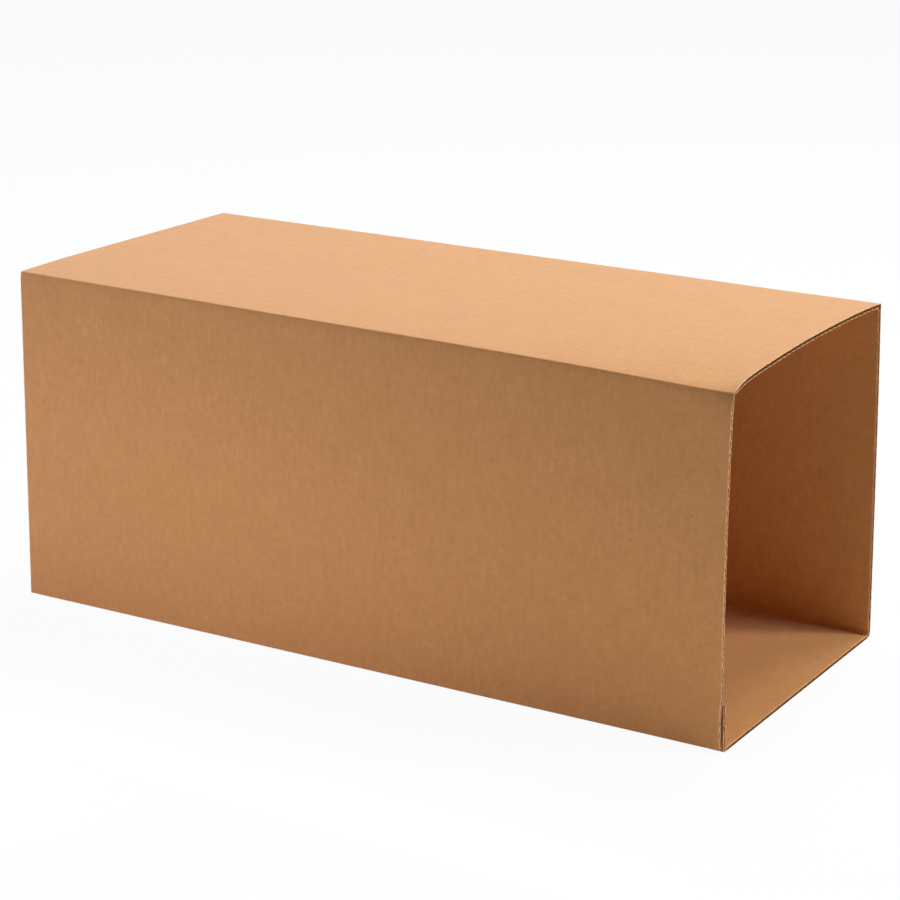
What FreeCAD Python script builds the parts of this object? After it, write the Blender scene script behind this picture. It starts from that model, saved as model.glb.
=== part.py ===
import FreeCAD, Part
import math
import os
import Sketcher

# Open cardboard box: a four-panel sleeve of single-wall corrugated board, open at both ends.
# One blank is scored, folded round and glued along a tab at the bottom front edge.
#
# Frame, in millimetres: the sleeve lies on its bottom panel, +Z up, its length along X.
# The large front panel faces -Y. The origin is on the floor, under the middle of the box.
# Every section below is drawn in the YZ plane at mid length and runs both ways along X.

SIZES = {
    "sleeve_length": 604.0,       # cut edge to cut edge
    "outer_width": 262.0,         # outside, front panel to back panel
    "outer_height": 262.0,        # outside, bottom panel to top panel
    "tab_height": 34.0,           # glue tab, from the floor to its cut edge
    "board_thickness": 3.8,       # liner, fluted medium and liner together
    "liner_thickness": 0.35,
    "medium_thickness": 0.3,
    "flute_pitch": 8.1,           # from one wave of the medium to the next
    "crown_radius": 1.2,          # middle of the medium, where it turns at a liner
    "front_lift": 1.5,            # from the floor to the front panel's cut edge
    "fold_radius": 2.5,           # outer liner round a fold
    "score_radius": 2.0,          # groove that the scoring wheel leaves inside a fold
    "edge_web": 0.8,              # board left between the last flute and a cut or a groove
    "joint_gap": 1.0,             # between the front panel and the tab, filled by the glue
    "glue_inset": 3.0,            # from the tab's fold and cut edge to the glue
    "glue_setback": 12.0,         # from each open end to the glue
}


class Size:
    """A number together with the sheet expression that gives it."""

    def __init__(self, text, value):
        self.text = text
        self.value = value

    @staticmethod
    def of(item):
        return item if isinstance(item, Size) else Size(str(item), float(item))

    def __add__(self, other):
        other = Size.of(other)
        return Size(f"({self.text} + {other.text})", self.value + other.value)

    def __sub__(self, other):
        other = Size.of(other)
        return Size(f"({self.text} - {other.text})", self.value - other.value)

    def __mul__(self, other):
        other = Size.of(other)
        return Size(f"({self.text} * {other.text})", self.value * other.value)

    def __truediv__(self, other):
        other = Size.of(other)
        return Size(f"({self.text} / {other.text})", self.value / other.value)

    def root(self):
        return Size(f"sqrt({self.text})", math.sqrt(self.value))

    def floor(self):
        return Size(f"floor({self.text})", math.floor(self.value))


def make_sheet(doc):
    """The driving dimensions, one named cell each."""
    sheet = doc.addObject("Spreadsheet::Sheet", "Sizes")
    for row, (alias, value) in enumerate(SIZES.items(), start=1):
        sheet.set(f"A{row}", alias)
        sheet.set(f"B{row}", str(value))
        sheet.setAlias(f"B{row}", alias)
    doc.recompute()
    return sheet


def size(alias):
    return Size(f"Sizes.{alias}", SIZES[alias])


LENGTH = size("sleeve_length")
WIDTH = size("outer_width")
HEIGHT = size("outer_height")
TAB = size("tab_height")
BOARD = size("board_thickness")
LINER = size("liner_thickness")
MEDIUM = size("medium_thickness")
PITCH = size("flute_pitch")
CROWN = size("crown_radius")
FRONT_CUT = size("front_lift")
FOLD = size("fold_radius")
SCORE = size("score_radius")
WEB = size("edge_web")
GAP = size("joint_gap")
GLUE_INSET = size("glue_inset")
GLUE_SETBACK = size("glue_setback")

# The faces of the panels, as Y and Z of the section
FRONT = WIDTH / -2
FRONT_INSIDE = FRONT + BOARD
TAB_OUTSIDE = FRONT_INSIDE + GAP
TAB_INSIDE = TAB_OUTSIDE + BOARD
BACK = WIDTH / 2
BACK_INSIDE = BACK - BOARD
FLOOR = Size("0", 0.0)
FLOOR_INSIDE = BOARD
TOP = HEIGHT
TOP_INSIDE = HEIGHT - BOARD


def new_sketch(body, name):
    """A sketch on the body's own YZ plane: sketch x is Y and sketch y is Z."""
    plane = next(item for item in body.Origin.OriginFeatures if item.Role == "YZ_Plane")
    sketch = body.newObject("Sketcher::SketchObject", name)
    sketch.AttachmentSupport = [(plane, "")]
    sketch.MapMode = "FlatFace"
    return sketch


def bind(sketch, name, constraint, length):
    """Adds a dimension and ties it to the sheet."""
    index = sketch.addConstraint(constraint)
    sketch.renameConstraint(index, name)
    sketch.setExpression(f"Constraints.{name}", length.text)


def pin_point(sketch, name, edge, end, y, z):
    """Holds one end of an edge, or an arc's centre, at a place in the section."""
    bind(sketch, f"{name}_y", Sketcher.Constraint("DistanceX", -1, 1, edge, end, y.value), y)
    bind(sketch, f"{name}_z", Sketcher.Constraint("DistanceY", -1, 1, edge, end, z.value), z)


def point(y, z):
    """A place in the section, in the sketch's own plane."""
    return FreeCAD.Vector(y.value, z.value, 0)


def draw_outline(sketch, corners):
    """A closed outline of level and upright edges, given as named (Y, Z) corners."""
    places = list(corners.values())
    edges = [
        sketch.addGeometry(Part.LineSegment(point(*places[i - 1]), point(*places[i])))
        for i in range(len(places))
    ]
    for i, name in enumerate(corners):
        edge = edges[i]
        following = edges[(i + 1) % len(edges)]
        sketch.addConstraint(Sketcher.Constraint("Coincident", edge, 2, following, 1))
        y, z = places[i]
        level = places[i - 1][1] is z
        if level:
            sketch.addConstraint(Sketcher.Constraint("Horizontal", edge))
            constraint = Sketcher.Constraint("DistanceY", -1, 1, edge, 2, z.value)
            bind(sketch, f"{name}_z", constraint, z)
        else:
            sketch.addConstraint(Sketcher.Constraint("Vertical", edge))
            constraint = Sketcher.Constraint("DistanceX", -1, 1, edge, 2, y.value)
            bind(sketch, f"{name}_y", constraint, y)


def pad(body, sketch, name, length):
    """Runs a section both ways from mid length."""
    feature = body.newObject("PartDesign::Pad", name)
    feature.Profile = sketch
    feature.SideType = "Symmetric"
    feature.setExpression("Length", length.text)
    return feature


def cut_through(body, sketch, name):
    """Cuts a section out of the body, from one open end to the other."""
    feature = body.newObject("PartDesign::Pocket", name)
    feature.Profile = sketch
    feature.Type = "ThroughAll"
    feature.SideType = "Symmetric"
    return feature


# Folded sheet


def sheet_section(body):
    """The blank's edge-on view: front, top, back, bottom and tab as one bent strip."""
    sketch = new_sketch(body, "strip_section")
    draw_outline(sketch, {
        "front_cut_outside": (FRONT, FRONT_CUT),
        "top_front_outside": (FRONT, TOP),
        "top_back_outside": (BACK, TOP),
        "bottom_back_outside": (BACK, FLOOR),
        "tab_fold_outside": (TAB_OUTSIDE, FLOOR),
        "tab_cut_outside": (TAB_OUTSIDE, TAB),
        "tab_cut_inside": (TAB_INSIDE, TAB),
        "tab_fold_inside": (TAB_INSIDE, FLOOR_INSIDE),
        "bottom_back_inside": (BACK_INSIDE, FLOOR_INSIDE),
        "top_back_inside": (BACK_INSIDE, TOP_INSIDE),
        "top_front_inside": (FRONT_INSIDE, TOP_INSIDE),
        "front_cut_inside": (FRONT_INSIDE, FRONT_CUT),
    })
    return sketch


def lengthwise_edges(shape, places):
    """Names of the edges that run along X at the given (Y, Z) places."""
    found = []
    for y, z in places:
        for i, edge in enumerate(shape.Edges, start=1):
            middle = edge.CenterOfMass
            near = math.hypot(middle.y - y.value, middle.z - z.value) < 1e-4
            if near and abs(middle.x) < 1e-4:
                found.append(f"Edge{i}")
    return found


def round_the_folds(doc, body, strip):
    """The outer liner runs round each of the four folds in an arc."""
    doc.recompute()
    folds = [(FRONT, TOP), (BACK, TOP), (BACK, FLOOR), (TAB_OUTSIDE, FLOOR)]
    names = lengthwise_edges(strip.Shape, folds)
    if len(names) != len(folds):
        raise RuntimeError("the outer edge of a fold was not found")
    feature = body.newObject("PartDesign::Fillet", "rounded_folds")
    feature.Base = (strip, names)
    feature.setExpression("Radius", FOLD.text)


def score_the_folds(body):
    """The scoring wheel's groove leaves the board crushed thin along each fold."""
    sketch = new_sketch(body, "score_section")
    inner_corners = {
        "tab_fold": (TAB_INSIDE, FLOOR_INSIDE),
        "bottom_back": (BACK_INSIDE, FLOOR_INSIDE),
        "top_back": (BACK_INSIDE, TOP_INSIDE),
        "top_front": (FRONT_INSIDE, TOP_INSIDE),
    }
    for name, (y, z) in inner_corners.items():
        circle = Part.Circle(point(y, z), FreeCAD.Vector(0, 0, 1), SCORE.value)
        groove = sketch.addGeometry(circle)
        pin_point(sketch, name, groove, 3, y, z)
        constraint = Sketcher.Constraint("Radius", groove, SCORE.value)
        bind(sketch, f"{name}_radius", constraint, SCORE)
    cut_through(body, sketch, "score_grooves")


# Fluted medium
#
# In section the medium is a wave: it turns round crown_radius at each liner, and straight flanks
# join the turns. The air left on each side of it is a flute: a base on one liner, two flanks and
# a crown towards the other liner. A crown is drawn flat, as it is pressed on that liner. The flat
# and the flanks touch the crown's true circle, and their corners lie within 0.08 mm of it.

RISE = BOARD - LINER * 2 - MEDIUM - CROWN * 2
HALF_PITCH = PITCH / 2
SPAN_SQUARED = HALF_PITCH * HALF_PITCH + RISE * RISE
FLANK_LENGTH = (SPAN_SQUARED - CROWN * CROWN * 4).root()
FLANK_SINE = (RISE * FLANK_LENGTH + HALF_PITCH * CROWN * 2) / SPAN_SQUARED
FLANK_COSINE = (HALF_PITCH * FLANK_LENGTH - RISE * CROWN * 2) / SPAN_SQUARED
FLUTE_RADIUS = CROWN - MEDIUM / 2
FLUTE_HALF_CROWN = FLUTE_RADIUS * (FLANK_COSINE * -1 + 1) / FLANK_SINE
FLUTE_HALF_BASE = FLUTE_HALF_CROWN + (BOARD - LINER * 2 - MEDIUM) * FLANK_COSINE / FLANK_SINE


def draw_flute(sketch, name, place, along, base, crown):
    """One flute of the section, between the depths of its base and its crown.

    place(along, depth) gives the Y and Z of a point of the board.
    """
    corners = {
        "base_start": (along - FLUTE_HALF_BASE, base),
        "crown_start": (along - FLUTE_HALF_CROWN, crown),
        "crown_end": (along + FLUTE_HALF_CROWN, crown),
        "base_end": (along + FLUTE_HALF_BASE, base),
    }
    places = [place(*corner) for corner in corners.values()]
    edges = [
        sketch.addGeometry(Part.LineSegment(point(*places[i - 1]), point(*places[i])))
        for i in range(len(places))
    ]
    for i, corner in enumerate(corners):
        following = edges[(i + 1) % len(edges)]
        sketch.addConstraint(Sketcher.Constraint("Coincident", edges[i], 2, following, 1))
        pin_point(sketch, f"{name}_{corner}", edges[i], 2, *places[i])


def cut_flutes(doc, body, panel, axis, start, end, outside, inward):
    """Flutes along one panel: a pair, one on each liner, repeated at the pitch.

    axis is the section axis that the panel runs along, start and end the stretch of board
    that may hold flutes, outside the place of its outer face and inward the sign of the
    way from there through the board.
    """
    stretch = end - start
    count = ((stretch - FLUTE_HALF_BASE * 2 + HALF_PITCH) / PITCH).floor()
    first = start + (stretch - PITCH * count + HALF_PITCH) / 2

    def place(along, depth):
        across = outside + depth * inward
        return (along, across) if axis == "Y" else (across, along)

    sketch = new_sketch(body, f"{panel}_flute_section")
    draw_flute(sketch, "inner", place, first, BOARD - LINER, LINER + MEDIUM)
    draw_flute(sketch, "outer", place, first + HALF_PITCH, LINER, BOARD - LINER - MEDIUM)
    pocket = cut_through(body, sketch, f"{panel}_flute_pair")
    doc.recompute()
    pattern = body.newObject("PartDesign::LinearPattern", f"{panel}_flutes")
    pattern.Originals = [pocket]
    pattern.Direction = (sketch, ["H_Axis" if axis == "Y" else "V_Axis"])
    pattern.Mode = "Spacing"
    pattern.setExpression("Offset", PITCH.text)
    pattern.setExpression("Occurrences", count.text)
    body.Tip = pattern
    doc.recompute()


def make_sleeve(doc):
    body = doc.addObject("PartDesign::Body", "Sleeve")
    body.Label = "sleeve"
    strip = pad(body, sheet_section(body), "strip", LENGTH)
    round_the_folds(doc, body, strip)
    score_the_folds(body)
    doc.recompute()
    at_fold = BOARD + SCORE + WEB
    cut_flutes(doc, body, "front", "Z", FRONT_CUT + WEB, TOP - at_fold, FRONT, 1)
    cut_flutes(doc, body, "top", "Y", FRONT + at_fold, BACK - at_fold, TOP, -1)
    cut_flutes(doc, body, "back", "Z", FLOOR + at_fold, TOP - at_fold, BACK, -1)
    cut_flutes(doc, body, "bottom", "Y", TAB_OUTSIDE + at_fold, BACK - at_fold, FLOOR, 1)
    cut_flutes(doc, body, "tab", "Z", FLOOR + at_fold, TAB - WEB, TAB_OUTSIDE, 1)
    return body


# Glue


def make_glue_line(doc):
    """The set film of glue that holds the tab to the inside of the front panel."""
    body = doc.addObject("PartDesign::Body", "GlueLine")
    body.Label = "glue_line"
    sketch = new_sketch(body, "film_section")
    lower = FOLD + GLUE_INSET
    upper = TAB - GLUE_INSET
    draw_outline(sketch, {
        "front_lower": (FRONT_INSIDE, lower),
        "front_upper": (FRONT_INSIDE, upper),
        "tab_upper": (TAB_OUTSIDE, upper),
        "tab_lower": (TAB_OUTSIDE, lower),
    })
    pad(body, sketch, "film", LENGTH - GLUE_SETBACK * 2)
    return body


def check(doc, pieces):
    """Stops if a feature failed or a piece is not a sound solid."""
    for item in doc.Objects:
        if "Invalid" in item.State or "Error" in item.State:
            raise RuntimeError(f"{item.Name} failed: {item.State}")
    for piece in pieces:
        shape = piece.Shape
        if shape.isNull() or not shape.isValid() or len(shape.Solids) != 1:
            raise RuntimeError(f"{piece.Label} is not one sound solid")


def main():
    doc = FreeCAD.newDocument("open_cardboard_box")
    make_sheet(doc)
    pieces = [make_sleeve(doc), make_glue_line(doc)]
    doc.recompute()
    check(doc, pieces)
    os.makedirs("parts", exist_ok=True)
    for piece in pieces:
        piece.Shape.exportStep(f"parts/{piece.Label}.step")
        faces = len(piece.Shape.Faces)
        print(f"{piece.Label}: {piece.Shape.Volume / 1000:.1f} cm3, {faces} faces")


main()
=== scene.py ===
import math

import bmesh
import bpy
import numpy as np
from mathutils import Matrix, Vector, noise


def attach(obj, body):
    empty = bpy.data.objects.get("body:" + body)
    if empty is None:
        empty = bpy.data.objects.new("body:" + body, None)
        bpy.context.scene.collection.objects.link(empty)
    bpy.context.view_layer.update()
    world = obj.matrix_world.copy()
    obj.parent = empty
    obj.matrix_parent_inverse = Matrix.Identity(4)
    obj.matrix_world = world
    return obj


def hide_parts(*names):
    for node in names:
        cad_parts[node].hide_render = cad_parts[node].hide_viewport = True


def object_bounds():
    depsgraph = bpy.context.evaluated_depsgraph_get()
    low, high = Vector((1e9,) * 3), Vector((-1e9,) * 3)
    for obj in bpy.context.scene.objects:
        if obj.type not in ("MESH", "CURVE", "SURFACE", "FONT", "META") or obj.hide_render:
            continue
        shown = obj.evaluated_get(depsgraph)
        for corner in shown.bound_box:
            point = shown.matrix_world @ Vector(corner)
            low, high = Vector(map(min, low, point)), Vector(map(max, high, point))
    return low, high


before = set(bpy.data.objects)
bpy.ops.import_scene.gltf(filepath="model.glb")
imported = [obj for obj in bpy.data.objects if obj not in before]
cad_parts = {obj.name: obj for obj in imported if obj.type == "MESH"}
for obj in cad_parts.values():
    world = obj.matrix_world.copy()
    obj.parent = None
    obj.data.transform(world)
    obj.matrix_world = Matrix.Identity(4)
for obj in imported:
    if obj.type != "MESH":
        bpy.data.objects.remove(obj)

# Open cardboard box: a four-panel sleeve of single-wall corrugated board, seen into one end.
# The sleeve is three glued papers: an outer liner, a waved medium and an inner liner. Each is
# a ribbon in the YZ section that runs the whole length along X, and a small settling of the
# square form gives it the lean, crown and soft corners of the photographed box.

CAD_BOX = [list(corner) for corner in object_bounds()]
MM = 0.001

# The square form, in millimetres, on the frame's own faces
LENGTH, WIDTH, HEIGHT = ((high - low) / MM for low, high in zip(*CAD_BOX))
BOARD = 3.8
LINER = 0.35
MEDIUM = 0.3
PITCH = 8.1
CROWN_RADIUS = 1.2
FOLD_RADII = (0.9, 0.9, 2.5, 2.5)    # top front, top back, bottom back, tab
EDGE_WEB = 0.8
SCORE_RADIUS = 2.0
JOINT_GAP = 1.0
TAB_HEIGHT = 34.0
FRONT_LIFT = 1.5

FRONT, BACK = -WIDTH / 2, WIDTH / 2
TAB_FACE = FRONT + BOARD + JOINT_GAP

# How finely the papers are divided
PANEL_STEP = 8.0              # widest face of a liner, across the panel
BY_FOLDS = (1.2, 2.8, 4.9)    # extra places for them beside a fold
FOLD_STEPS = 7                # faces round a fold
CROWN_STEPS = 5               # faces round a crown of the medium
LINER_STATIONS = (56, 0.75)   # places along X, and how much they crowd to the ends
MEDIUM_STATIONS = (13, 0.9)
SHARP_ANGLE = 40.0            # degrees

# The knife's marks on the cut ends
BURR = 0.1             # how much thicker a liner is where the knife has frayed it
MASHED = 0.3           # and the medium, on each side
OUTER_FRAY = 0.7       # width of the frayed strip along the cuts of each paper
INNER_FRAY = 1.2
MEDIUM_FRAY = 1.0
ROUGH_CUT = 0.16       # raggedness of the papers' cut ends
FINE_RAGS = (2.6, 0.7)       # size of its features, and their share
COARSE_RAGS = (19.0, 0.8)

# How the inner liner takes each fold, from the flat panel to the fold's own line: distances
# from the outer corner, and heights above the panel's inside. It sinks into the top front fold
# and the tab's fold, and stands up in a bead along the two at the back.
PINCHED = ((8.0, 0.0), (6.8, -0.15), (5.6, -0.55), (4.4, -1.1), (3.2, -1.6), (1.9, -1.9))
BEADED = ((8.0, 0.0), (7.0, -0.12), (6.2, -0.35), (5.6, -0.22), (5.15, 0.4), (4.85, 1.05))
INNER_FOLDS = (PINCHED, BEADED, BEADED, PINCHED)

# The medium dives to the outer liner before a fold: how far past its last wave, and the share
# of the board's thickness at which it does
DIVE = 1.0
DIVE_DEPTH = 0.36


# Settling, in millimetres

# Where each corner of the section ends up, away from the square form: (X, Y, Z)
NEAR_CORNERS = {
    "top_front": (0.0, 0.3, -6.4),
    "top_back": (-4.1, -3.7, -3.4),
    "bottom_back": (-0.1, -1.0, 0.0),
    "bottom_front": (-0.2, 1.3, 0.0),
}
FAR_CORNERS = {
    "top_front": (2.3, 4.2, -0.6),
    "top_back": (3.1, 0.0, 0.0),
    "bottom_back": (1.0, -1.5, 0.0),
    "bottom_front": (0.0, 0.0, 0.0),
}

# The panels' bows at the near end
TOP_CROWN = 5.0          # rise of the top panel's middle
CROWN_FULLNESS = 0.72    # less than a sine's 1: steeper at its sides
BACK_BOW = 1.0           # outward
BACK_BULGE = 0.5         # and a little more above its middle
FRONT_BOW = 1.0
FRONT_SKEW = 1.0         # how far the front panel's cut edge stands back
BOW_REACH = 170.0

# The top front fold
SOFT_CORNER = (2.4, -0.4)    # (Y, Z) push at the near end
SOFT_CORNER_SIZE = 14.0
SOFT_CORNER_REACH = 12.0
FOLD_DROP = 1.1              # the top's slope down to the fold, all along it
FOLD_SAG = 2.2               # fall of the fold towards the near end
FOLD_SAG_REACH = 95.0
FOLD_SAG_SIZE = (30.0, 30.0)    # its width across the top at the near end, and what it gains
FOLD_SAG_SPREAD = 12.0          # how soon it gains that
FOLD_SAG_HOLLOW = 1.5           # more than a straight slope's 1
FOLD_ROLL = 0.9                 # how far the front panel draws back as it nears the fold
FOLD_ROLL_SIZE = 8.0

# The glued joint
JOINT_PRESS = 1.1            # how much thinner the front board is, pressed, beside the tab
JOINT_FLARE = (-1.0, -0.6)   # (X, Y) push on the front panel's cut corner beside the tab
TAB_PRESS = (0.6, 0.7)       # how far the tab stands nearer the front, and is pressed thinner
JOINT_REACH = 60.0
CORNER_REACH = 30.0          # of the flare's push along X
CUT_SLOPE = 3.3              # rise of the front panel's lower cut edge, far end to near end
CUT_SLOPE_HEIGHT = 60.0      # how far up the panel follows it

# The rim
TOP_PRESS = 0.8          # how much thinner the board is at its cut near end
BOTTOM_PRESS = 1.5
FRONT_PRESS = 0.9
PRESS_REACH = 25.0
PRESS_MARGIN = 5.0       # how far the bend of the side panels spreads from the board
CRUSH = 0.55             # share of the board's thickness lost at the lower back corner
CRUSH_SIZE = 11.0
CRUSH_REACH = 12.0
DULLED = (-1.5, 0.8)     # (Y, Z) push on the same corner's outside
DULLED_SIZE = 6.0

UNDULATION = 0.35
UNDULATION_SIZE = 85.0
UNDULATION_SEED = 3.7


def smooth(value):
    """An eased step from 0 at 0 to 1 at 1."""
    value = np.clip(value, 0.0, 1.0)
    return value * value * (3.0 - 2.0 * value)


def fade(distance, reach):
    """A bell: 1 at no distance, about a third at the reach."""
    return np.exp(-(distance / reach) ** 2)


def ripple(points, size, seed):
    """Slow noise from 0 to 1 at each point, with features of that size."""
    return np.array([
        0.5 + 0.5 * noise.noise(Vector(point) / size + Vector((seed, 0.0, -seed)))
        for point in points
    ])


def lean(across, up, near):
    """The shift that carries the corners of the section to their places, at both ends."""
    def row(corners, height):
        front, back = corners[height + "_front"], corners[height + "_back"]
        return np.outer(1 - across, front) + np.outer(across, back)

    def at_end(corners):
        return row(corners, "bottom") * (1 - up)[:, None] + row(corners, "top") * up[:, None]

    return at_end(FAR_CORNERS) * (1 - near)[:, None] + at_end(NEAR_CORNERS) * near[:, None]


def bow_panels(shift, across, up, from_near):
    """The top crowns, the back and the front bow outward, and the front's edge stands back."""
    end = fade(from_near, BOW_REACH)
    crown = TOP_CROWN * np.sin(math.pi * across) ** CROWN_FULLNESS
    shift[:, 2] += crown * smooth(up * 4 - 3) * end
    bow = np.sin(math.pi * up) * end
    bulge = np.maximum(-np.sin(2 * math.pi * up), 0.0) * end
    at_back, at_front = smooth(across * 4 - 3), smooth(1 - across * 4)
    shift[:, 1] += (BACK_BOW * bow + BACK_BULGE * bulge) * at_back - FRONT_BOW * bow * at_front
    shift[:, 0] -= FRONT_SKEW * bow * at_front


def soften_top_fold(shift, y, z, from_near, on_front):
    """The long top front fold sags, its near corner is soft and the front rolls into it."""
    from_fold = np.hypot(y - FRONT, z - HEIGHT)
    soft = smooth(1 - from_fold / SOFT_CORNER_SIZE) * np.exp(-from_near / SOFT_CORNER_REACH)
    shift[:, 1] += SOFT_CORNER[0] * soft
    shift[:, 2] += SOFT_CORNER[1] * soft
    sag = FOLD_DROP + FOLD_SAG * fade(from_near, FOLD_SAG_REACH)
    width = FOLD_SAG_SIZE[0] + FOLD_SAG_SIZE[1] * (1 - fade(from_near, FOLD_SAG_SPREAD))
    shift[:, 2] -= sag * np.clip(1 - from_fold / width, 0, 1) ** FOLD_SAG_HOLLOW
    below_fold = np.clip((HEIGHT - z) / FOLD_ROLL_SIZE, 0, 1)
    shift[:, 1] += np.where(on_front, FOLD_ROLL * (1 - below_fold) ** 2, 0.0)


def beside_tab(z):
    """1 up to the tab's height and 0 above it, eased over its cut edge."""
    return smooth((TAB_HEIGHT + 2 - z) / 5)


def spring_joint(shift, y, z, from_near, on_front):
    """The front board is pressed thin beside the tab and flares, and the tab stands near it."""
    by_end = fade(from_near, JOINT_REACH)
    pressed = beside_tab(z) * by_end
    shift[:, 1] -= np.where(on_front, JOINT_PRESS * (y - FRONT) / BOARD * pressed, 0.0)
    flare = smooth((TAB_HEIGHT + 8 - z) / 14) * smooth((z + 2) / 12)
    shift[:, 1] += np.where(on_front, JOINT_FLARE[1] * flare, 0.0) * by_end
    back = np.where(on_front, JOINT_FLARE[0] * flare, 0.0)
    shift[:, 0] += back * fade(from_near, CORNER_REACH)
    on_tab = ~on_front & (y < TAB_FACE + BOARD + 1) & (z < TAB_HEIGHT + 1)
    nearer = TAB_PRESS[0] + TAB_PRESS[1] * (y - TAB_FACE) / BOARD
    above_fold = smooth((z - 3) / 8) * by_end
    shift[:, 1] -= np.where(on_tab, nearer, 0.0) * above_fold


def slope_cut_edge(shift, z, near, on_front):
    """The front panel's lower cut edge rises a little from the far end to the near one."""
    lift = (CUT_SLOPE * near - FRONT_LIFT) * smooth(1 - z / CUT_SLOPE_HEIGHT)
    shift[:, 2] += np.where(on_front, lift, 0.0)


def press_rim(shift, y, z, from_near, on_front):
    """The knife presses the board thinner where it cuts it."""
    cut = fade(from_near, PRESS_REACH)
    for depth, press in ((HEIGHT - z, TOP_PRESS), (z, -BOTTOM_PRESS)):
        share = np.clip(depth / BOARD, 0, 1) * smooth(1 - (depth - BOARD) / PRESS_MARGIN)
        shift[:, 2] += np.where(on_front & (press < 0), 0.0, press * share * cut)
    share = np.where(on_front, np.clip((y - FRONT) / BOARD, 0, 1), 0.0) * (1 - beside_tab(z))
    shift[:, 1] -= FRONT_PRESS * share * cut


def crush_corner(shift, y, z, from_near):
    """The lower back corner of the near rim is crushed, and its outside is dulled."""
    from_corner = np.hypot(y - BACK, z)
    depth = np.minimum(BACK - y, z)
    crush = smooth(1 - from_corner / CRUSH_SIZE) * fade(from_near, CRUSH_REACH)
    shift[:, 1] += CRUSH * depth * crush
    shift[:, 2] -= CRUSH * depth * crush
    dulled = smooth(1 - from_corner / DULLED_SIZE) * np.exp(-from_near / CRUSH_REACH)
    shift[:, 1] += DULLED[0] * dulled
    shift[:, 2] += DULLED[1] * dulled


def settle(points, on_front):
    """Moves points of the square form to where the photographed box has them."""
    x, y, z = points.T
    near = np.clip((x + LENGTH / 2) / LENGTH, 0.0, 1.0)
    across = np.clip((y - FRONT) / WIDTH, 0.0, 1.0)
    up = np.clip(z / HEIGHT, 0.0, 1.0)
    from_near = LENGTH / 2 - x

    shift = lean(across, up, near)
    bow_panels(shift, across, up, from_near)
    soften_top_fold(shift, y, z, from_near, on_front)
    spring_joint(shift, y, z, from_near, on_front)
    slope_cut_edge(shift, z, near, on_front)
    press_rim(shift, y, z, from_near, on_front)
    crush_corner(shift, y, z, from_near)

    # Board is never quite flat: its panels dip inward a little
    dip = UNDULATION * ripple(points, UNDULATION_SIZE, UNDULATION_SEED)
    shift[:, 1] += dip * (1 - 2 * across)
    shift[:, 2] += dip * (1 - 2 * up) * (1 - smooth(1 - up * 4))

    edge = np.array([LENGTH / 2, WIDTH / 2, HEIGHT])
    return np.clip(points + shift, edge * (-1, -1, 0), edge)


# The section

class Panel:
    """One panel of the strip, from one outer corner to the next, with its inside to the right."""

    def __init__(self, start, end, fold_at_start=True, fold_at_end=True):
        self.start = np.array(start)
        span = np.array(end) - self.start
        self.size = np.hypot(*span)
        self.way = span / self.size
        self.inward = np.array([self.way[1], -self.way[0]])
        self.fold_at_start = fold_at_start
        self.fold_at_end = fold_at_end

    def at(self, along, depth):
        return self.start + self.way * along + self.inward * depth

    def steps(self, first, last, by_folds=()):
        """Places along the panel, with some extra ones at given distances from its ends."""
        count = max(1, math.ceil((last - first) / PANEL_STEP))
        even = np.linspace(first, last, count + 1)
        extra = [first + gap for gap in by_folds] + [last - gap for gap in by_folds]
        return np.unique(np.concatenate([even, extra]))


def make_panels():
    top_front, top_back = (FRONT, HEIGHT), (BACK, HEIGHT)
    bottom_back, tab_fold = (BACK, 0.0), (TAB_FACE, 0.0)
    return [
        Panel((FRONT, FRONT_LIFT), top_front, fold_at_start=False),
        Panel(top_front, top_back),
        Panel(top_back, bottom_back),
        Panel(bottom_back, tab_fold),
        Panel(tab_fold, (TAB_FACE, TAB_HEIGHT), fold_at_end=False),
    ]


def fold_arc(panel, radius, depth, first, last):
    """Places at a depth round the fold at a panel's end, from step first to step last."""
    centre = panel.at(panel.size - radius, radius)
    places = []
    for i in range(first, last + 1):
        turn = math.pi / 2 * i / FOLD_STEPS
        spoke = panel.way * math.sin(turn) - panel.inward * math.cos(turn)
        places.append(centre + spoke * (radius - depth))
    return places


def outer_liner_side(panels, depth):
    """A face of the outer liner: straight along the panels, round at the folds."""
    places = []
    for index, panel in enumerate(panels):
        first, last = 0.0, panel.size
        if panel.fold_at_start:
            first = FOLD_RADII[index - 1]
        if panel.fold_at_end:
            last -= FOLD_RADII[index]
        places += [panel.at(along, depth) for along in panel.steps(first, last, BY_FOLDS)]
        if panel.fold_at_end:
            places += fold_arc(panel, FOLD_RADII[index], depth, 1, FOLD_STEPS - 1)
    return places


def inner_liner_line(panels):
    """The middle of the inner liner, with each fold's own tuck or bead."""
    depth = BOARD - LINER / 2
    places = []
    for index, panel in enumerate(panels):
        first, last = 0.0, panel.size
        if panel.fold_at_start:
            tuck = INNER_FOLDS[index - 1]
            first = tuck[0][0]
            places += [panel.at(along, depth + height) for along, height in tuck[-2:0:-1]]
        if panel.fold_at_end:
            tuck = INNER_FOLDS[index]
            last = panel.size - tuck[0][0]
        places += [panel.at(along, depth) for along in panel.steps(first, last)]
        if panel.fold_at_end:
            places += [panel.at(panel.size - along, depth + height) for along, height in tuck[1:]]
    return places


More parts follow.
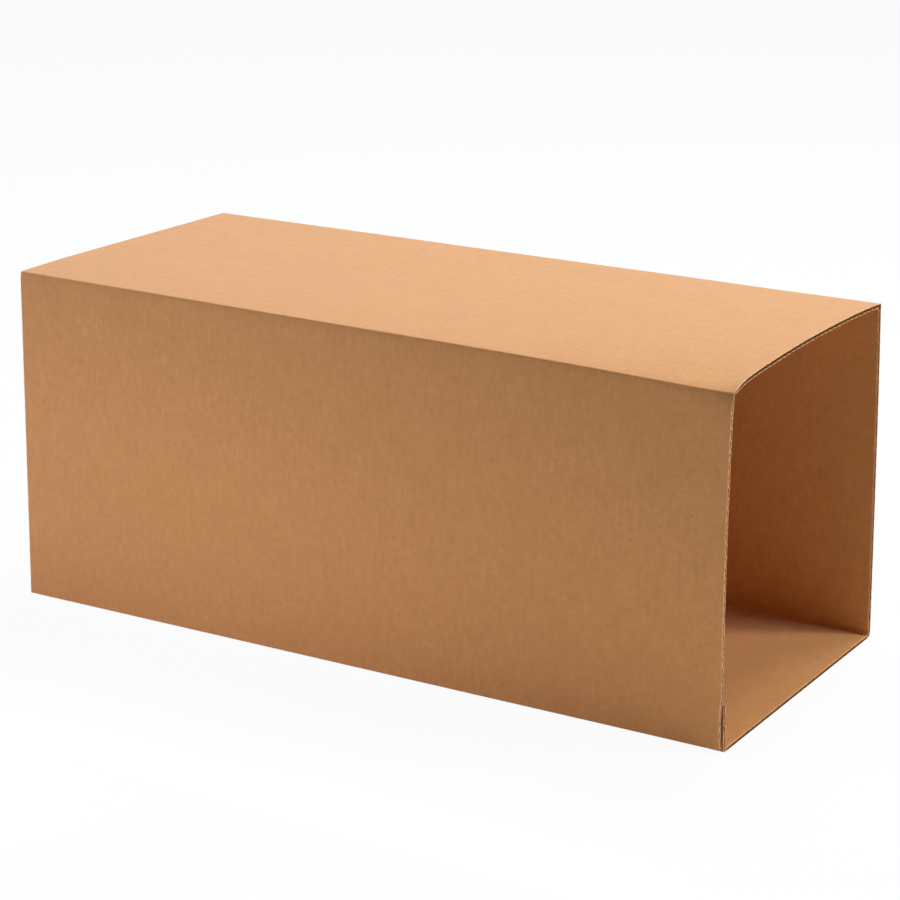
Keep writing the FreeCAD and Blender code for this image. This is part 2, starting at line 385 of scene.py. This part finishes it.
def medium_line(panels):
    """The middle of the medium: waves along the panels, crushed flat round the folds."""
    outer_depth = LINER + MEDIUM / 2
    inner_depth = BOARD - outer_depth
    rise = inner_depth - outer_depth - CROWN_RADIUS * 2
    half_pitch = PITCH / 2
    flank = math.sqrt(half_pitch ** 2 + rise ** 2 - CROWN_RADIUS ** 2 * 4)
    slope = math.atan2(rise, half_pitch) + math.atan2(CROWN_RADIUS * 2, flank)
    half_base = (CROWN_RADIUS + (rise + CROWN_RADIUS) * math.cos(slope)) / math.sin(slope)
    turns = np.linspace(-slope, slope, CROWN_STEPS + 1)
    at_fold = BOARD + SCORE_RADIUS + EDGE_WEB

    places = []
    for index, panel in enumerate(panels):
        start = at_fold if panel.fold_at_start else EDGE_WEB
        end = panel.size - (at_fold if panel.fold_at_end else EDGE_WEB)
        count = math.floor((end - start - half_base * 2 + half_pitch) / PITCH)
        first = start + (end - start - PITCH * count + half_pitch) / 2
        if not panel.fold_at_start:
            places.append(panel.at(0.0, outer_depth))
        for i in range(count * 2):
            along = first + half_pitch * i
            sign = -1 if i % 2 == 0 else 1
            centre = outer_depth + CROWN_RADIUS if sign < 0 else inner_depth - CROWN_RADIUS
            places += [
                panel.at(
                    along + CROWN_RADIUS * math.sin(turn),
                    centre + sign * CROWN_RADIUS * math.cos(turn),
                )
                for turn in turns
            ]
        if panel.fold_at_end:
            places.append(panel.at(panel.size - at_fold + DIVE, BOARD * DIVE_DEPTH))
            places += fold_arc(panel, FOLD_RADII[index], outer_depth, 0, FOLD_STEPS)
        else:
            places.append(panel.at(panel.size, inner_depth - CROWN_RADIUS / 2))
    return places


def both_sides(line, thickness):
    """The two faces of a sheet whose middle follows a line."""
    line = np.array(line)
    runs = np.diff(line, axis=0)
    runs /= np.hypot(*runs.T)[:, None]
    before, after = np.vstack([runs[:1], runs]), np.vstack([runs, runs[-1:]])
    way = before + after
    way /= np.hypot(*way.T)[:, None]
    mitre = 1 / np.clip((way * after).sum(axis=1), 0.7, 1.0)
    right = np.column_stack([way[:, 1], -way[:, 0]]) * (mitre * thickness / 2)[:, None]
    return line - right, line + right


# The sleeve's mesh

LINER_FACE, MEDIUM_FACE, CUT_FACE = range(3)

# How light a cut end is beside a pale one's 1: the mashed flutes' paleness is the paper's own,
# the dimmer tones are painted shade, and the papers facing each other in the joint are painted
# dark for the shade in its slit
BACK_CUT_SHADE = 0.9
TABLE_CUT_SHADE = 0.2
MASHED_FLUTE_TONE = 0.9
OPEN_FLUTE_SHADE = 0.22
SLIT_SHADE_TONE = 0.45


def stations(count, crowding):
    """Places along X, closer together at the two open ends."""
    share = np.linspace(-1.0, 1.0, count)
    return (share * (1 - crowding) + np.sin(share * math.pi / 2) * crowding) * LENGTH / 2


def cut_tone(points):
    """How light a liner's cut end is: painted shade dims it on the back wall, and a painted
    shadow darkens it where it rests on the table.
    """
    y, z = points[:, 1], points[:, 2]
    on_back = (y > BACK - BOARD - 0.5) & (z > 3)
    on_table = (z < 0.6) & (y > TAB_FACE + 4)
    return np.where(on_back, BACK_CUT_SHADE, 1.0) * np.where(on_table, TABLE_CUT_SHADE, 1.0)


def flute_tone(points):
    """How light the medium's cut end is: mashed pale in the upright front board, else painted
    dark for the shade in the open flutes.
    """
    upright = (points[:, 1] < TAB_FACE + BOARD) & (points[:, 2] < HEIGHT - 6)
    return np.where(upright, MASHED_FLUTE_TONE, OPEN_FLUTE_SHADE)


def joint_shade(points):
    """Painted shade: the papers that face each other in the joint are darkened for the shade in
    the slit between them.
    """
    y, z = points[:, 1], points[:, 2]
    facing = (y > FRONT + BOARD - LINER - 0.1) & (y < TAB_FACE + LINER + 0.1)
    return np.where(facing & (z < TAB_HEIGHT + 1), SLIT_SHADE_TONE, 1.0)


def run_ribbon(mesh, outer, inner, places, skin, seed, burr, fray, tone):
    """Runs a paper's section along X, closes its two cut ends and its two long edges.

    burr is how far the outer and the inner face stand out where the knife has been, fray is
    how far in from the cut that starts, and tone gives how light the cut ends are, painted shade
    included.
    """
    tone_layer, joint_shade_layer = (mesh.verts.layers.float[name] for name in ("tone", "joint_shade"))
    outer, inner = np.array(outer), np.array(inner)
    through = inner - outer
    through /= np.hypot(*through.T)[:, None]
    frayed = np.concatenate([outer - through * burr[0], (inner + through * burr[1])[::-1]])
    section = np.concatenate([outer, inner[::-1]])
    size, half = len(section), len(outer)
    end = LENGTH / 2
    places = [-end, -end + fray, *places[1:-1], end - fray, end]
    points = np.concatenate([
        np.column_stack([np.full(size, x), frayed if abs(x) == end else section]) for x in places
    ])
    on_front = points[:, 1] < FRONT + BOARD + JOINT_GAP / 2
    settled = settle(points, on_front)

    # Each paper is cut a little ragged, and only ever short of the square end
    for block, sign in ((slice(0, size), 1), (slice(-size, None), -1)):
        fine = ripple(points[block], FINE_RAGS[0], seed) * FINE_RAGS[1]
        coarse = ripple(points[block], COARSE_RAGS[0], seed + 5) * COARSE_RAGS[1]
        settled[block, 0] += sign * (ROUGH_CUT * (fine + coarse))

    vertices = [mesh.verts.new(place * MM) for place in settled]
    # Each point carries how light its cut end is, and the painted shade of the joint's slit
    for vertex, lightness, dark in zip(vertices, tone(points), joint_shade(points)):
        vertex[tone_layer] = lightness
        vertex[joint_shade_layer] = dark
    for i in range(len(places) - 1):
        for j in range(size):
            k = (j + 1) % size
            corners = (i * size + j, i * size + k, (i + 1) * size + k, (i + 1) * size + j)
            face = mesh.faces.new([vertices[corner] for corner in corners])
            frayed_strip = skin == LINER_FACE and i in (0, len(places) - 2)
            cut = frayed_strip or j in (half - 1, size - 1)
            face.material_index = CUT_FACE if cut else skin
            face.smooth = True
    for i in (0, len(places) - 1):
        for j in range(half - 1):
            corners = (j, j + 1, size - 2 - j, size - 1 - j)
            face = mesh.faces.new([vertices[i * size + corner] for corner in corners])
            face.material_index = CUT_FACE


def make_sleeve(materials):
    panels = make_panels()
    mesh = bmesh.new()
    mesh.verts.layers.float.new("tone")
    mesh.verts.layers.float.new("joint_shade")
    fine, coarse = stations(*LINER_STATIONS), stations(*MEDIUM_STATIONS)
    outer_liner = outer_liner_side(panels, 0.0), outer_liner_side(panels, LINER)
    inner_liner = both_sides(inner_liner_line(panels), LINER)
    medium = both_sides(medium_line(panels), MEDIUM)
    for faces, places, skin, seed, burr, fray, tone in (
        (outer_liner, fine, LINER_FACE, 1.0, (0.0, BURR), OUTER_FRAY, cut_tone),
        (inner_liner, fine, LINER_FACE, 7.0, (BURR, 0.0), INNER_FRAY, cut_tone),
        (medium, coarse, MEDIUM_FACE, 13.0, (MASHED, MASHED), MEDIUM_FRAY, flute_tone),
    ):
        run_ribbon(mesh, *faces, places, skin, seed, burr, fray, tone)
    bmesh.ops.recalc_face_normals(mesh, faces=mesh.faces)
    data = bpy.data.meshes.new("folded_board")
    mesh.to_mesh(data)
    mesh.free()
    for material in materials:
        data.materials.append(material)
    data.set_sharp_from_angle(angle=math.radians(SHARP_ANGLE))
    sleeve = bpy.data.objects.new("folded_board", data)
    bpy.context.collection.objects.link(sleeve)
    return sleeve


# Materials

BLACK = (0.0, 0.0, 0.0)
WHITE = (1.0, 1.0, 1.0)


class Shader:
    """A short way to write a node material."""

    def __init__(self, name):
        self.material = bpy.data.materials.new(name)
        self.material.use_nodes = True
        self.nodes = self.material.node_tree.nodes
        self.links = self.material.node_tree.links
        self.surface = self.nodes["Principled BSDF"]
        self.place = self.nodes.new("ShaderNodeTexCoord").outputs["Object"]

    def link(self, source, target):
        self.links.new(source, target)

    def noise(self, scale, detail=3.0, roughness=0.55, stretch=(1.0, 1.0, 1.0)):
        """Noise from 0 to 1; stretch makes its features longer along an axis."""
        mapping = self.nodes.new("ShaderNodeMapping")
        mapping.inputs["Scale"].default_value = [1.0 / part for part in stretch]
        texture = self.nodes.new("ShaderNodeTexNoise")
        texture.inputs["Scale"].default_value = scale
        texture.inputs["Detail"].default_value = detail
        texture.inputs["Roughness"].default_value = roughness
        self.link(self.place, mapping.inputs["Vector"])
        self.link(mapping.outputs["Vector"], texture.inputs["Vector"])
        return texture.outputs["Fac"]

    def attribute(self, name):
        node = self.nodes.new("ShaderNodeAttribute")
        node.attribute_name = name
        return node.outputs["Fac"]

    def ramp(self, source, *stops):
        """Colours at the given places along 0 to 1."""
        node = self.nodes.new("ShaderNodeValToRGB")
        for element, (place, colour) in zip(node.color_ramp.elements, stops):
            element.position = place
            element.color = (*colour, 1.0)
        self.link(source, node.inputs["Fac"])
        return node.outputs["Color"]

    def tint(self, colour, source, *stops):
        """The colour, times a ramp."""
        node = self.nodes.new("ShaderNodeMix")
        node.data_type = "RGBA"
        node.blend_type = "MULTIPLY"
        node.inputs["Factor"].default_value = 1.0
        self.link(colour, node.inputs[6])
        self.link(self.ramp(source, *stops), node.inputs[7])
        return node.outputs[2]

    def bump(self, height, distance, strength, under=None):
        node = self.nodes.new("ShaderNodeBump")
        node.inputs["Distance"].default_value = distance
        node.inputs["Strength"].default_value = strength
        self.link(height, node.inputs["Height"])
        if under is not None:
            self.link(under, node.inputs["Normal"])
        return node.outputs["Normal"]

    def finish(self, colour, roughness, specular, normal, fuzz=0.0):
        self.link(colour, self.surface.inputs["Base Color"])
        self.surface.inputs["Roughness"].default_value = roughness
        self.surface.inputs["Specular IOR Level"].default_value = specular
        self.surface.inputs["Sheen Weight"].default_value = fuzz
        self.surface.inputs["Sheen Roughness"].default_value = 0.5
        self.link(normal, self.surface.inputs["Normal"])
        return self.material


KRAFT = (0.66, 0.31, 0.096)
PALE = (0.94, 0.55, 0.28)


def shade(colour, factor, warmth=1.0):
    return (colour[0] * factor, colour[1] * factor * warmth, colour[2] * factor * warmth ** 2)


def kraft_material():
    """Unbleached kraft liner: cloudy at the size of a fingertip, with fibres and dark flecks."""
    shader = Shader("kraft_liner")
    clouds = shader.noise(38.0, 3.0)
    mottle = shader.noise(170.0, 4.0, 0.62)
    streaks = shader.noise(330.0, 3.0, 0.6, (1.0, 7.0, 7.0))
    fibres = shader.noise(1500.0, 2.0, 0.6, (1.0, 5.0, 5.0))
    flecks = shader.noise(620.0, 1.0, 0.4, (1.0, 2.6, 2.6))
    light, dark = shade(KRAFT, 1.015, 1.01), shade(KRAFT, 0.985, 0.99)
    colour = shader.ramp(clouds, (0.30, dark), (0.70, light))
    for source, first, second in (
        (mottle, (0.30, (0.945, 0.93, 0.90)), (0.70, (1.045, 1.05, 1.07))),
        (streaks, (0.30, (0.965, 0.96, 0.95)), (0.72, (1.03, 1.035, 1.045))),
        (fibres, (0.28, (0.955, 0.95, 0.94)), (0.72, (1.04, 1.045, 1.05))),
        (flecks, (0.72, WHITE), (0.80, (0.80, 0.76, 0.70))),
        # painted shade on the papers facing each other in the joint's slit
        (shader.attribute("joint_shade"), (0.0, BLACK), (1.0, WHITE)),
    ):
        colour = shader.tint(colour, source, first, second)
    normal = shader.bump(mottle, 0.0004, 0.35)
    normal = shader.bump(fibres, 0.00008, 0.5, normal)
    return shader.finish(colour, 0.80, 0.15, normal, fuzz=0.4)


def medium_material():
    """The fluting paper: browner and rougher than the liners."""
    shader = Shader("fluting_medium")
    grain = shader.noise(700.0, 3.0, 0.6)
    light, dark = shade(KRAFT, 0.78, 0.93), shade(KRAFT, 0.62, 0.9)
    colour = shader.ramp(grain, (0.3, dark), (0.7, light))
    return shader.finish(colour, 0.92, 0.1, shader.bump(grain, 0.0001, 0.5))


def cut_material():
    """Paper torn by the knife: pale fibre ends, uneven along the cut."""
    shader = Shader("cut_paper")
    grain = shader.noise(900.0, 4.0, 0.7)
    uneven = shader.noise(260.0, 2.0, 0.5)
    colour = shader.ramp(grain, (0.32, shade(PALE, 0.88, 0.96)), (0.62, PALE))
    colour = shader.tint(colour, uneven, (0.35, (0.80, 0.76, 0.72)), (0.60, WHITE))
    # The tone attribute dims cut ends with painted shade: on the back wall, at the table and in
    # the open flutes
    colour = shader.tint(colour, shader.attribute("tone"), (0.0, BLACK), (1.0, WHITE))
    return shader.finish(colour, 0.95, 0.05, shader.bump(grain, 0.0002, 0.8))


def glue_material():
    """Dried carton glue: cream, with soaked-in darker patches and a slight gloss."""
    shader = Shader("dried_glue")
    patches = shader.noise(90.0, 4.0, 0.6)
    colour = shader.ramp(patches, (0.35, (0.58, 0.46, 0.28)), (0.65, (0.74, 0.65, 0.45)))
    return shader.finish(colour, 0.42, 0.45, shader.bump(patches, 0.0003, 0.4))


# Studio

FLOOR_SHADOW = 0.05      # how much of the floor's own shading shows over the white
FLOOR_COLOUR = (0.80, 0.80, 0.80)
FLOOR_HALF = 14.0        # metres
FLOOR_GAP = 0.0002
SKY_STRENGTH = 0.01

# Each lamp's place, what it faces, its size in metres, its power in watts and its colour. The
# key comes from behind on the right and the two soft boxes from above, a little behind, so that
# the top is bright and the front isn't. The strips stand in for light off a white table.
LAMPS = {
    "key": ((2.149, 1.191, 1.851), (0.0, 0.0, 0.13), (0.45, 0.45), 35.0, (1.0, 0.96, 0.82)),
    "key_fill": ((2.2, 0.6, 0.9), (0.3, 0.0, 0.13), (0.5, 0.5), 12.3, (1.0, 0.98, 0.85)),
    "top_left": ((-0.315, 1.05, 2.61), (0.0, 0.0, 0.26), (1.0, 1.0), 21.5, (1.0, 1.07, 1.27)),
    "top_right": ((0.21, 1.153, 2.77), (0.0, 0.0, 0.26), (1.1, 1.1), 44.1, (1.0, 1.08, 1.3)),
    "front_left": ((-1.9, -0.9, 1.6), (0.0, 0.0, 0.15), (0.9, 0.9), 19.2, (1.0, 0.96, 1.25)),
    "front_high": ((0.4, -1.7, 2.2), (0.0, 0.0, 0.15), (0.9, 0.9), 0.7, (1.0, 1.0, 1.0)),
    "strip_left": (
        (-0.3, -0.5, 0.02), (-0.3, -0.13, 0.02), (0.5, 0.03), 0.52, (1.0, 0.99, 1.2),
    ),
    "strip_right": (
        (0.1, -0.36, 0.015), (0.1, -0.13, 0.015), (0.5, 0.02), 0.114, (1.0, 0.92, 1.05),
    ),
}


def seen_by_eye(tree):
    """1 for rays that show the background: straight ones, reflections and see-through ones."""
    path = tree.nodes.new("ShaderNodeLightPath")
    total = path.outputs["Is Camera Ray"]
    for name in ("Is Glossy Ray", "Is Transmission Ray"):
        node = tree.nodes.new("ShaderNodeMath")
        node.operation = "MAXIMUM"
        tree.links.new(total, node.inputs[0])
        tree.links.new(path.outputs[name], node.inputs[1])
        total = node.outputs[0]
    return total


def white_for_eye(tree, lit, white, share, target):
    """Mixes a lit shader with plain white, by how much of a ray shows the background."""
    mix = tree.nodes.new("ShaderNodeMixShader")
    tree.links.new(share, mix.inputs[0])
    tree.links.new(lit.outputs[0], mix.inputs[1])
    tree.links.new(white.outputs[0], mix.inputs[2])
    tree.links.new(mix.outputs[0], target.inputs["Surface"])


def make_floor():
    material = bpy.data.materials.new("studio_floor")
    material.use_nodes = True
    tree = material.node_tree
    surface = tree.nodes["Principled BSDF"]
    surface.inputs["Base Color"].default_value = (*FLOOR_COLOUR, 1.0)
    surface.inputs["Roughness"].default_value = 0.9
    surface.inputs["Specular IOR Level"].default_value = 0.0
    white = tree.nodes.new("ShaderNodeEmission")
    white.inputs["Strength"].default_value = 1.0
    seen = tree.nodes.new("ShaderNodeMath")
    seen.operation = "MULTIPLY"
    seen.inputs[1].default_value = 1.0 - FLOOR_SHADOW
    tree.links.new(seen_by_eye(tree), seen.inputs[0])
    white_for_eye(tree, surface, white, seen.outputs[0], tree.nodes["Material Output"])
    mesh = bpy.data.meshes.new("studio_floor")
    corners = [(-1, -1), (1, -1), (1, 1), (-1, 1)]
    mesh.from_pydata([(x * FLOOR_HALF, y * FLOOR_HALF, 0.0) for x, y in corners], [], [range(4)])
    mesh.materials.append(material)
    floor = bpy.data.objects.new("studio_floor", mesh)
    floor.location.z = -FLOOR_GAP
    bpy.context.collection.objects.link(floor)
    return floor


def make_world():
    world = bpy.data.worlds.new("studio")
    bpy.context.scene.world = world
    world.use_nodes = True
    tree = world.node_tree
    sky = tree.nodes["Background"]
    sky.inputs["Color"].default_value = (*WHITE, 1.0)
    sky.inputs["Strength"].default_value = SKY_STRENGTH
    white = tree.nodes.new("ShaderNodeBackground")
    white.inputs["Color"].default_value = (*WHITE, 1.0)
    white_for_eye(tree, sky, white, seen_by_eye(tree), tree.nodes["World Output"])


def make_lamps():
    for name, (place, aim, size, power, colour) in LAMPS.items():
        lamp = bpy.data.lights.new(name, "AREA")
        lamp.shape = "RECTANGLE"
        lamp.size, lamp.size_y = size
        lamp.energy = power
        lamp.color = colour
        holder = bpy.data.objects.new(name, lamp)
        holder.location = place
        holder.rotation_euler = (Vector(aim) - Vector(place)).to_track_quat("-Z", "Y").to_euler()
        holder.visible_camera = False
        holder.visible_glossy = False
        bpy.context.collection.objects.link(holder)


# The photograph's camera: degrees, millimetres, and a focal length in pixels of a 900-pixel frame

FRAME_PIXELS = 900
SENSOR = 36.0
AZIMUTH = 31.73
ELEVATION = 16.91
DISTANCE = 1863.6
FOCAL_PIXELS = 2451.3
SIDE_OFFSET = 7.07
RISE_OFFSET = 1.55


def make_camera():
    turn, tilt = math.radians(AZIMUTH), math.radians(ELEVATION)
    back = Vector((
        math.sin(turn) * math.cos(tilt), -math.cos(turn) * math.cos(tilt), math.sin(tilt)
    ))
    right = Vector((math.cos(turn), math.sin(turn), 0.0))
    up = back.cross(right)
    target = Vector((0.0, 0.0, HEIGHT / 2))
    place = (target + back * DISTANCE + right * SIDE_OFFSET + up * RISE_OFFSET) * MM
    data = bpy.data.cameras.new("photograph_camera")
    data.sensor_fit = "HORIZONTAL"
    data.sensor_width = SENSOR
    data.lens = FOCAL_PIXELS / FRAME_PIXELS * SENSOR
    data.clip_end = 60.0
    camera = bpy.data.objects.new("photograph_camera", data)
    axes = Matrix((right, up, back)).transposed().to_4x4()
    camera.matrix_world = Matrix.Translation(place) @ axes
    bpy.context.collection.objects.link(camera)
    bpy.context.scene.camera = camera


def main():
    bpy.context.scene.view_settings.view_transform = "Standard"
    sleeve = make_sleeve([kraft_material(), medium_material(), cut_material()])
    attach(sleeve, "root")
    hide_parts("sleeve")
    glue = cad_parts["glue_line"]
    glue.data.materials.clear()
    glue.data.materials.append(glue_material())
    make_floor()
    make_world()
    make_lamps()
    make_camera()


main()
